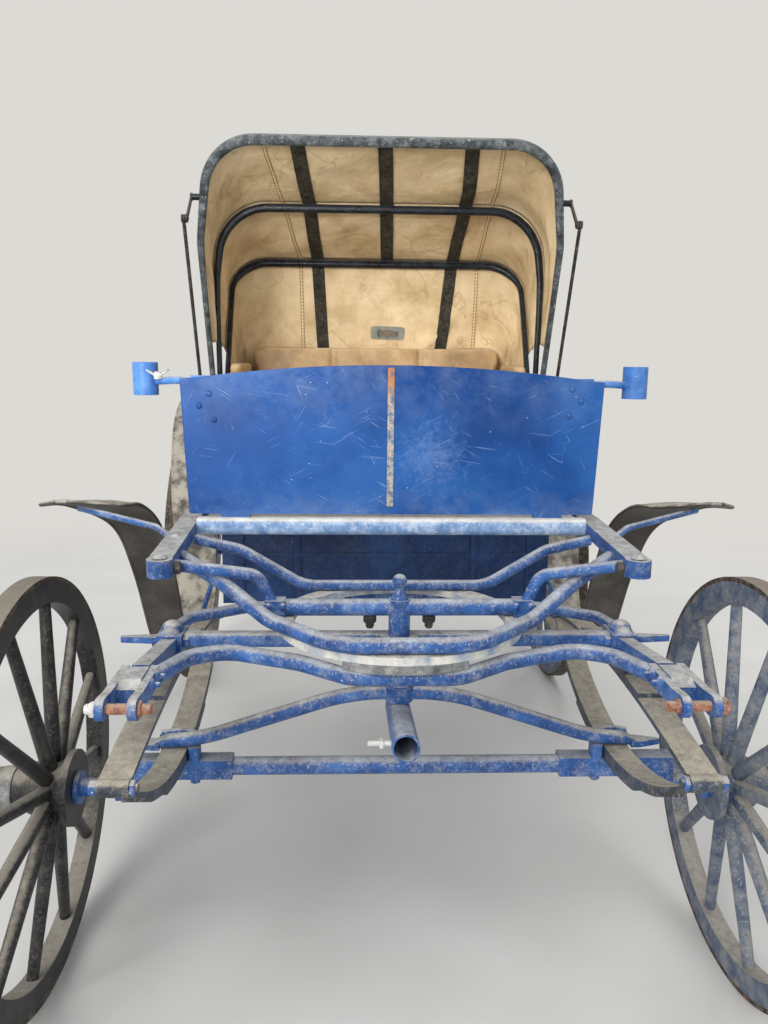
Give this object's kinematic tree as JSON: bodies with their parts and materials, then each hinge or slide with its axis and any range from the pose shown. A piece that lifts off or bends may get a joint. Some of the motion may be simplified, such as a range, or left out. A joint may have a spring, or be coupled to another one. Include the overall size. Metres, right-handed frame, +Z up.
{
  "type": "horse drawn carriage",
  "caption": "Small hooded four-wheel horse carriage with a turntable fore-carriage, dished spoked wheels, elliptic springs, long wings and a folding leather hood.",
  "frame": {"origin": "middle of the carriage's length and width, on the floor", "axes": "+X to the left of the driver, seen from the front to the viewer's right; +Y from the front to the rear; +Z up"},
  "size_m": [1.486, 2.46, 1.7541],
  "materials": {
    "blue_paint": "worn satin",
    "blue_wood": "worn painted",
    "black_paint": "worn satin",
    "iron": "rusty",
    "black_wood": "gloss lacquer",
    "wing_leather": "dusty",
    "hood_leather": "worn",
    "seat_leather": "worn"
  },
  "bodies": {
    "carriage": {"dash": "blue_paint", "lamp_brackets": "blue_paint", "footboard": "blue_wood", "side_irons": "blue_paint", "turntable_ring": "blue_paint", "upper_front_pipe": "blue_paint", "upper_rear_pipe": "blue_paint", "transom": "blue_paint", "king_pin": "blue_paint", "well_panel": "blue_wood", "well_sides": "blue_wood", "floor": "blue_wood", "seat_box": "blue_wood", "seat_arms": "blue_wood", "seat_back": "blue_wood", "seat_cushion": "seat_leather", "back_cushion": "seat_leather", "arm_pads": "seat_leather", "wings": "wing_leather", "wing_stays": "blue_paint", "rear_axle": "blue_paint", "rear_springs": "blue_paint", "rear_bed": "blue_wood", "hood_back_leather": "hood_leather"},
    "fore_carriage": {"turntable_bed": "blue_paint", "front_axle": "blue_paint", "front_springs": "blue_paint", "stay_bar": "blue_paint", "pole_socket": "blue_paint", "lower_front_pipe": "blue_paint", "lower_rear_pipe": "blue_paint", "shaft_forks": "blue_paint"},
    "front_left_wheel": {"front_left_wheel": "blue_wood", "front_left_tyre": "iron"},
    "front_right_wheel": {"front_right_wheel": "blue_wood", "front_right_tyre": "iron"},
    "rear_left_wheel": {"rear_left_wheel": "blue_wood", "rear_left_tyre": "iron"},
    "rear_right_wheel": {"rear_right_wheel": "blue_wood", "rear_right_tyre": "iron"},
    "rear_bow": {"rear_bow": "black_wood"},
    "middle_bow": {"middle_bow": "black_wood", "hood_middle_leather": "hood_leather"},
    "front_bow": {"front_bow": "black_wood", "hood_front_leather": "hood_leather"},
    "stay_rods": {"hood_stay_rods": "blue_paint"},
    "stay_links": {"hood_stay_links": "black_paint"}
  },
  "joints": [
    {"name": "steering", "type": "hinge", "parent": "carriage", "child": "fore_carriage", "pos_m": [0, -0.85, 0.69], "axis": [0, 0, 1], "range_deg": [-25, 25]},
    {"name": "front_left_wheel_spin", "type": "hinge", "parent": "fore_carriage", "child": "front_left_wheel", "pos_m": [-0.655, -0.83, 0.385], "axis": [1, 0, 0], "continuous": true},
    {"name": "front_right_wheel_spin", "type": "hinge", "parent": "fore_carriage", "child": "front_right_wheel", "pos_m": [0.655, -0.83, 0.385], "axis": [1, 0, 0], "continuous": true},
    {"name": "rear_left_wheel_spin", "type": "hinge", "parent": "carriage", "child": "rear_left_wheel", "pos_m": [-0.655, 0.77, 0.46], "axis": [1, 0, 0], "continuous": true},
    {"name": "rear_right_wheel_spin", "type": "hinge", "parent": "carriage", "child": "rear_right_wheel", "pos_m": [0.655, 0.77, 0.46], "axis": [1, 0, 0], "continuous": true},
    {"name": "hood_fold", "type": "hinge", "parent": "carriage", "child": "rear_bow", "pos_m": [0, 0.45, 1.06], "axis": [-1, 0, 0], "range_deg": [0, 59], "deforming": ["hood_back_leather"]},
    {"name": "middle_bow_fold", "type": "hinge", "parent": "rear_bow", "child": "middle_bow", "pos_m": [0, 0.45, 1.06], "axis": [-1, 0, 0], "range_deg": [0, 28], "deforming": ["hood_middle_leather"]},
    {"name": "front_bow_fold", "type": "hinge", "parent": "middle_bow", "child": "front_bow", "pos_m": [0, 0.45, 1.06], "axis": [-1, 0, 0], "range_deg": [0, 16], "deforming": ["hood_front_leather"]},
    {"name": "stay_rod_swing", "type": "hinge", "parent": "carriage", "child": "stay_rods", "pos_m": [0, 0.37, 0.99], "axis": [-1, 0, 0], "range_deg": [0, 103]},
    {"name": "stay_link_swing", "type": "hinge", "parent": "front_bow", "child": "stay_links", "pos_m": [0, 0.21695, 1.59984], "axis": [-1, 0, 0], "range_deg": [-103, 0]}
  ],
  "couplings": [
    {"joint": "middle_bow_fold", "follows": "hood_fold", "ratio": 0.47458},
    {"joint": "front_bow_fold", "follows": "hood_fold", "ratio": 0.27119},
    {"joint": "stay_rod_swing", "follows": "hood_fold", "ratio": 1.7458},
    {"joint": "stay_link_swing", "follows": "hood_fold", "ratio": -1.7458}
  ]
}
